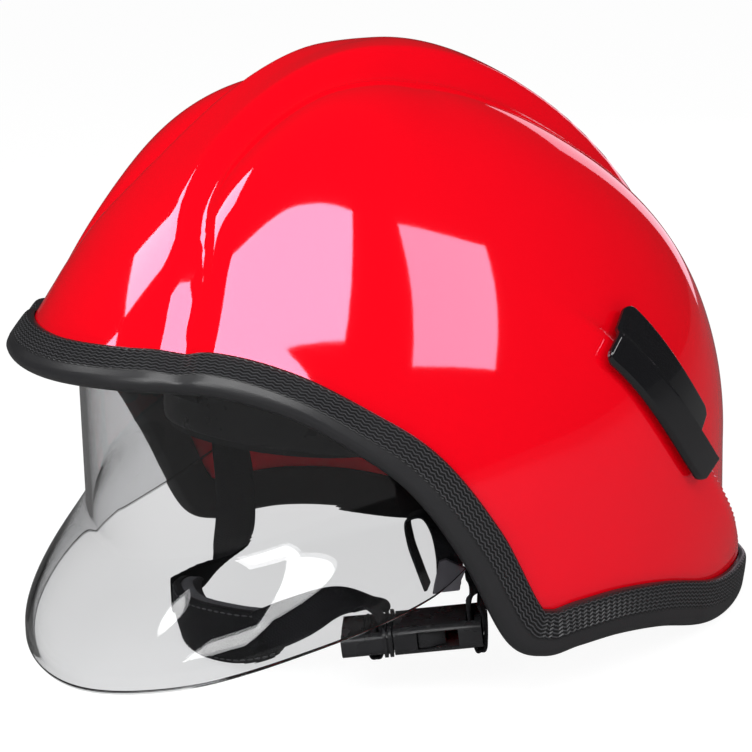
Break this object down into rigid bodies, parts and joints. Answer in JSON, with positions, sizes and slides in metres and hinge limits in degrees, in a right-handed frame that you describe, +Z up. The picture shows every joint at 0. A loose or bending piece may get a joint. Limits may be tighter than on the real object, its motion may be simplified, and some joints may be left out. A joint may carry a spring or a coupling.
{
  "type": "fire helmet",
  "caption": "Jet-style fire helmet: glossy lofted shell with central comb, clear swing-down visor, ratchet headband and buckled chin strap with padded cup.",
  "frame": {"origin": "centre of the bounding box in X and Y, at the lowest point of the visor and nape edge, which rest on the ground", "axes": "+Z up, -Y toward the front of the helmet, +X toward the wearer's left"},
  "size_m": [0.2442, 0.3252, 0.2462],
  "materials": {
    "shell_red": "glossy moulded shell",
    "trim_rubber": "fine grained rubber edge channel",
    "cover_black": "polished black side covers",
    "visor_clear": "clear polycarbonate, slightly grey",
    "black_plastic": "satin black mouldings",
    "steel": "screws and rivets",
    "liner_foam": "black foam impact liner",
    "black_padding": "black sweat band covering",
    "webbing": "black woven webbing",
    "grey_padding": "grey chin pad covering",
    "cradle_band": "flexible headband sheet"
  },
  "bodies": {
    "helmet": {"outer_shell": "shell_red", "edge_trim": "trim_rubber", "side_cover_left": "cover_black", "side_cover_right": "cover_black", "visor_pivot_left": "black_plastic", "visor_pivot_right": "black_plastic", "pivot_washers": "black_plastic", "pivot_screws": "steel", "impact_liner": "liner_foam", "crown_pad": "black_padding", "crown_strap_side": "webbing", "crown_strap_long": "webbing", "headband": "cradle_band", "brow_pad": "black_padding", "nape_pad": "black_padding", "ratchet_cover": "black_plastic", "ratchet_housing": "black_plastic", "strap_anchor_left": "black_plastic", "strap_anchor_right": "black_plastic", "anchor_rivets": "steel"},
    "visor": {"visor_lens": "visor_clear", "visor_bracket_left": "black_plastic", "visor_bracket_right": "black_plastic", "visor_rivets": "steel"},
    "adjuster": {"adjuster_pinion": "black_plastic", "adjuster_knob": "trim_rubber", "knob_screw": "steel"},
    "rack_slider_left": {"rack_left": "black_plastic"},
    "rack_slider_right": {"rack_right": "black_plastic"},
    "chin_strap": {"strap_tab_left": "black_plastic", "strap_tab_right": "black_plastic", "strap_left": "webbing", "strap_right": "webbing", "strap_front": "webbing", "strap_tail": "webbing", "strap_plate": "black_plastic", "chin_cup": "black_padding", "chin_pad": "grey_padding", "buckle_socket": "black_plastic", "buckle_plug": "black_plastic"},
    "buckle_prong_left": {"prong_left": "black_plastic"},
    "buckle_prong_right": {"prong_right": "black_plastic"}
  },
  "joints": [
    {"name": "visor_swing", "type": "hinge", "parent": "helmet", "child": "visor", "pos_m": [0, -0.01151, 0.09019], "axis": [-1, 0, 0], "range_deg": [0, 36]},
    {"name": "ratchet_turn", "type": "hinge", "parent": "helmet", "child": "adjuster", "pos_m": [0, 0.09349, 0.06619], "axis": [0, 1, 0], "range_deg": [-85, 85]},
    {"name": "rack_left_travel", "type": "slide", "parent": "helmet", "child": "rack_slider_left", "axis": [1, 0, 0], "range_m": [-0.009, 0.009]},
    {"name": "rack_right_travel", "type": "slide", "parent": "helmet", "child": "rack_slider_right", "axis": [-1, 0, 0], "range_m": [-0.009, 0.009]},
    {"name": "chin_strap_swing", "type": "hinge", "parent": "helmet", "child": "chin_strap", "pos_m": [0, -0.01851, 0.10219], "axis": [1, 0, 0], "range_deg": [-20, 12]},
    {"name": "prong_left_squeeze", "type": "hinge", "parent": "chin_strap", "child": "buckle_prong_left", "pos_m": [0.06436, -0.04654, 0.02381], "axis": [0.0616, 0.0734, -0.9954], "range_deg": [0, 14], "stiffness_Nm_per_rad": 0.25},
    {"name": "prong_right_squeeze", "type": "hinge", "parent": "chin_strap", "child": "buckle_prong_right", "pos_m": [0.07386, -0.05451, 0.02381], "axis": [-0.0616, -0.0734, 0.9954], "range_deg": [0, 14], "stiffness_Nm_per_rad": 0.25}
  ],
  "couplings": [
    {"joint": "rack_left_travel", "follows": "ratchet_turn", "m_per_rad": 0.006},
    {"joint": "rack_right_travel", "follows": "ratchet_turn", "m_per_rad": 0.006},
    {"joint": "prong_right_squeeze", "follows": "prong_left_squeeze", "ratio": 1}
  ]
}
